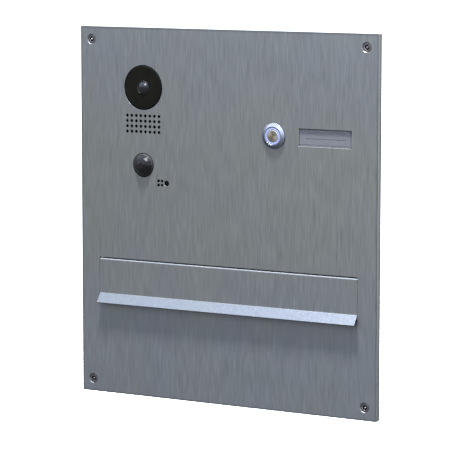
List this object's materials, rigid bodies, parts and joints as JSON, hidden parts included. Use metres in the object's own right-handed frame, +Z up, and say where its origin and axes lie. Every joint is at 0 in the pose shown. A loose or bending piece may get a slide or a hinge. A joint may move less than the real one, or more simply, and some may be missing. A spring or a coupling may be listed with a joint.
{
  "type": "door intercom panel",
  "caption": "Flush brushed steel door station plate with camera, speaker grille, motion sensor, lit call button, nameplate and a hinged letter flap with its chute.",
  "frame": {"origin": "centre of the front plate's back face", "axes": "+X to the right as a visitor sees the panel, +Y into the wall, +Z up; the plate's front face is at y = -0.004"},
  "size_m": [0.3, 0.0491, 0.33],
  "materials": {
    "plate_steel": "vertically brushed stainless steel, satin",
    "frame_steel": "plain rolled stainless sheet",
    "bezel_steel": "fine turned stainless steel",
    "screw_steel": "bright stainless steel",
    "spring_steel": "drawn spring wire",
    "brass": "tinned brass",
    "rubber": "matt black rubber",
    "cable_jacket": "satin black cable jacket",
    "window_black": "polished black window",
    "dome_black": "polished dark dome with lens facets",
    "black_plastic": "fine-grained moulded plastic",
    "grey_plastic": "moulded grey plastic",
    "speaker_cone": "pressed paper cone",
    "dark_mesh": "blackened acoustic mesh",
    "circuit_board": "green solder resist",
    "light_ring": "opal light guide, lit bluish white",
    "clear_window": "clear polycarbonate",
    "nameplate_card": "blank grey insert with a fine frame line",
    "lens_glass": "coated lens glass"
  },
  "bodies": {
    "panel": {"front_plate": "plate_steel", "perimeter_gasket": "rubber", "corner_screw_top_left": "screw_steel", "corner_screw_top_right": "screw_steel", "corner_screw_bottom_left": "screw_steel", "corner_screw_bottom_right": "screw_steel", "camera_window": "window_black", "camera_seal": "rubber", "camera_cup": "black_plastic", "infrared_led_board": "circuit_board", "lens_front_element": "lens_glass", "lens_barrel": "black_plastic", "lens_mount": "black_plastic", "image_sensor_board": "circuit_board", "speaker_mesh": "dark_mesh", "speaker_frame": "black_plastic", "speaker_cone": "speaker_cone", "speaker_magnet": "screw_steel", "motion_dome": "dome_black", "motion_dome_retainer": "black_plastic", "motion_sensor": "screw_steel", "microphone_boot": "rubber", "microphone_capsule": "screw_steel", "light_sensor_window": "window_black", "electronics_housing": "black_plastic", "main_circuit_board": "circuit_board", "processor_shield": "screw_steel", "terminal_block": "grey_plastic", "electronics_rear_cover": "black_plastic", "cover_screw_1": "screw_steel", "cover_screw_2": "screw_steel", "cover_screw_3": "screw_steel", "cover_screw_4": "screw_steel", "cable_grommet": "rubber", "button_bezel": "bezel_steel", "button_seal": "rubber", "button_light_ring": "light_ring", "button_return_spring": "spring_steel", "button_nut": "screw_steel", "button_switch_body": "black_plastic", "button_terminal_left": "brass", "button_terminal_right": "brass", "button_lead": "cable_jacket", "nameplate_window": "clear_window", "nameplate_insert": "nameplate_card", "nameplate_holder": "grey_plastic", "flap_spring": "spring_steel", "flap_pivot_pin_left": "screw_steel", "flap_pivot_pin_right": "screw_steel", "flap_bumper_left": "rubber", "flap_bumper_right": "rubber", "slot_frame": "frame_steel", "slot_frame_screw_top_left": "screw_steel", "slot_frame_screw_top_right": "screw_steel", "slot_frame_screw_bottom_left": "screw_steel", "slot_frame_screw_bottom_right": "screw_steel"},
    "call_button": {"button_actuator": "bezel_steel"},
    "flap": {"letter_flap": "plate_steel"}
  },
  "joints": [
    {"name": "call_button_press", "type": "slide", "parent": "panel", "child": "call_button", "axis": [0, 1, 0], "range_m": [0, 0.0016], "stiffness_N_per_m": 1500, "springref_m": -0.0012, "deforming": ["button_return_spring"]},
    {"name": "letter_flap_hinge", "type": "hinge", "parent": "panel", "child": "flap", "pos_m": [0, 0.0022, -0.0526], "axis": [-1, 0, 0], "range_deg": [0, 80], "stiffness_Nm_per_rad": 0.05, "springref_deg": -22.92, "deforming": ["flap_spring"]}
  ]
}
